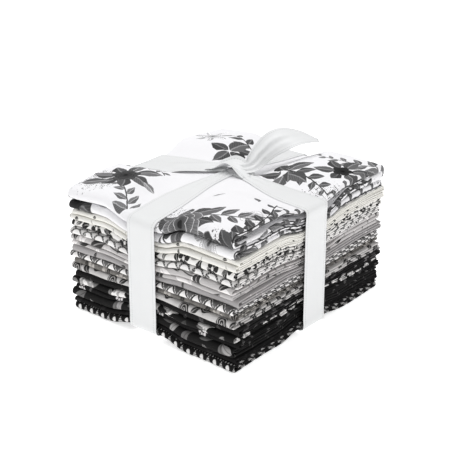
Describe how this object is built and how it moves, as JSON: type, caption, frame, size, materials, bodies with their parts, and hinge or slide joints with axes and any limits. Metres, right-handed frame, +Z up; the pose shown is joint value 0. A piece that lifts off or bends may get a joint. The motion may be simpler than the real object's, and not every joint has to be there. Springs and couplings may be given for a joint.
{
  "type": "fat quarter bundle",
  "caption": "Stack of folded cotton fat quarters, light on top to dark below, tied both ways round with a satin ribbon.",
  "frame": {"origin": "on the surface that the bundle lies on, under the middle of its outline", "axes": "+Z up, -Y towards the face that shows the folds, +X towards the face that shows the edges of the layers"},
  "size_m": [0.139, 0.1569, 0.1075],
  "materials": {
    "cotton_01": "matte woven white cotton with a large grey floral print",
    "cotton_02": "matte woven cream cotton with a tiny print",
    "cotton_03": "matte woven cream cotton with a faint small print",
    "cotton_04": "matte woven white cotton with a black floral print",
    "cotton_05": "matte woven white cotton with a grey lattice print",
    "cotton_06": "matte woven light grey cotton with a vine print",
    "cotton_07": "matte woven grey cotton with small sprigs",
    "cotton_08": "matte woven light cotton with a small geometric lattice print",
    "cotton_09": "matte woven taupe grey mottled cotton",
    "cotton_10": "matte woven light grey cotton with a dark floral print",
    "cotton_11": "matte woven black cotton with grey leaves",
    "cotton_12": "matte woven bold black and white floral cotton",
    "cotton_13": "matte woven black cotton with white scrolls",
    "cotton_14": "matte woven black cotton with grey leaves, loosely printed",
    "cotton_15": "matte woven black tone-on-tone cotton",
    "cotton_16": "matte woven black cotton with white dots and small triangles",
    "satin_ribbon": "white satin ribbon with a fine dotted line along each edge"
  },
  "bodies": {
    "root": {"fat_quarter_01": "cotton_01", "fat_quarter_02": "cotton_02", "fat_quarter_03": "cotton_03", "fat_quarter_04": "cotton_04", "fat_quarter_05": "cotton_05", "fat_quarter_06": "cotton_06", "fat_quarter_07": "cotton_07", "fat_quarter_08": "cotton_08", "fat_quarter_09": "cotton_09", "fat_quarter_10": "cotton_10", "fat_quarter_11": "cotton_11", "fat_quarter_12": "cotton_12", "fat_quarter_13": "cotton_13", "fat_quarter_14": "cotton_14", "fat_quarter_15": "cotton_15", "fat_quarter_16": "cotton_16", "ribbon_lengthwise": "satin_ribbon", "ribbon_crosswise": "satin_ribbon", "ribbon_knot": "satin_ribbon", "ribbon_tail_right": "satin_ribbon", "ribbon_tail_left": "satin_ribbon"}
  },
  "joints": []
}
